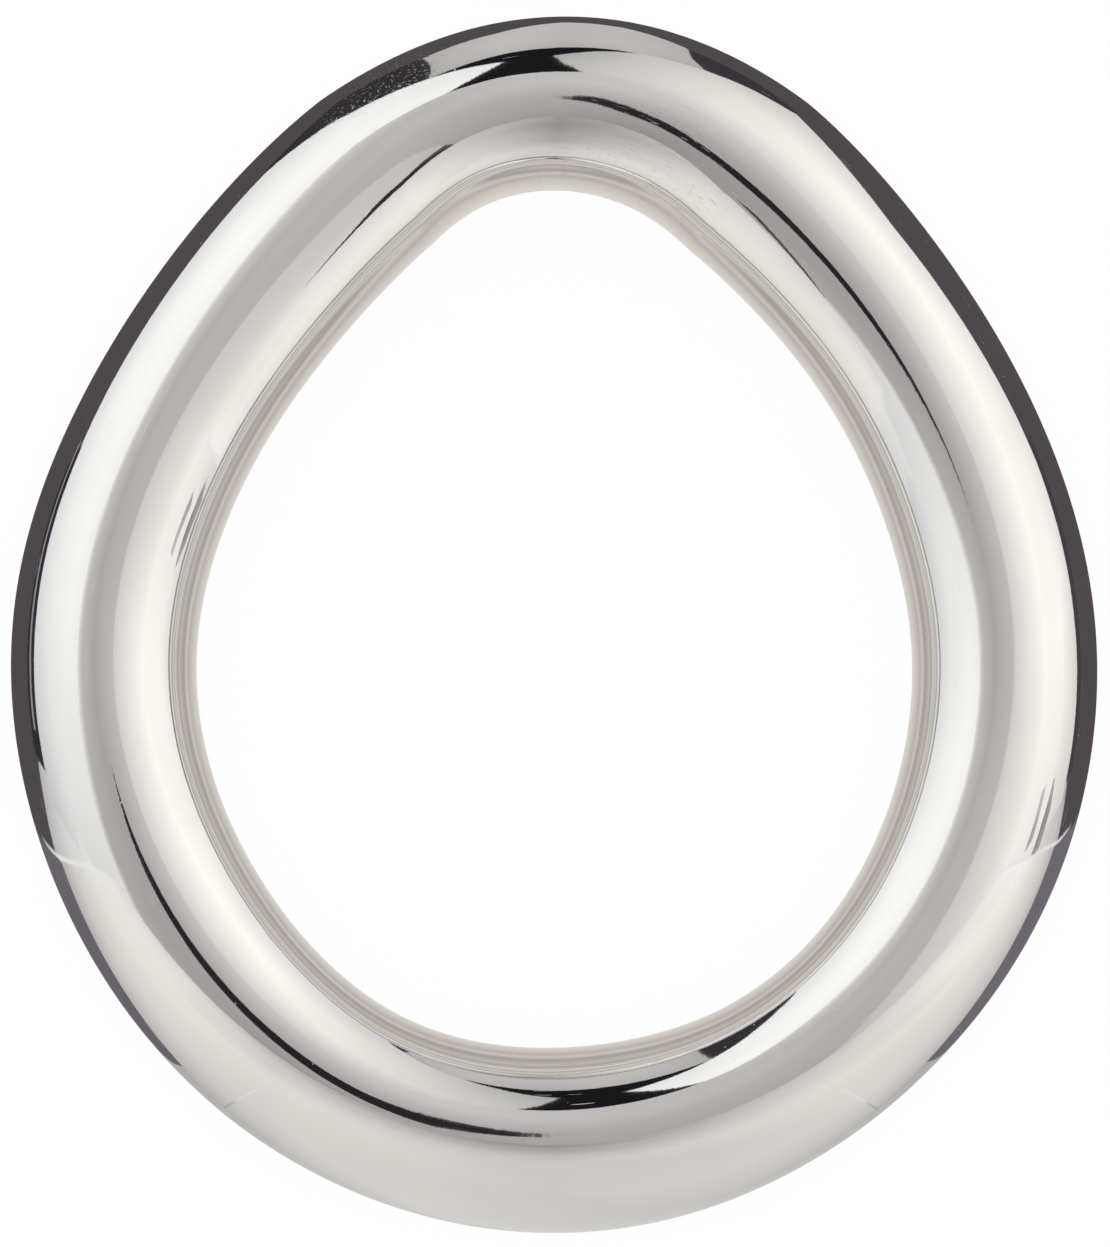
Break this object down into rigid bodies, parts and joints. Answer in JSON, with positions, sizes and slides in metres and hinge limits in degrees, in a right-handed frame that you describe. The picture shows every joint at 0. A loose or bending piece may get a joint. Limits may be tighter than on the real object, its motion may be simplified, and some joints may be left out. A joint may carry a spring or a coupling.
{
  "type": "egg-shaped closed ring",
  "caption": "Closed egg-shaped ring of mirror-polished round steel bar, solid and jointless, for linking, threading or hanging on a cord, bar or hook.",
  "frame": {"origin": "under the middle of the ring's bounding box, on the surface that the ring lies on", "axes": "+Z along the ring's own axis, up through its opening; +Y towards the narrow end; +X across the opening"},
  "size_m": [0.059, 0.067, 0.01],
  "materials": {
    "polished_steel": "polished"
  },
  "bodies": {
    "root": {"ring": "polished_steel"}
  },
  "joints": []
}
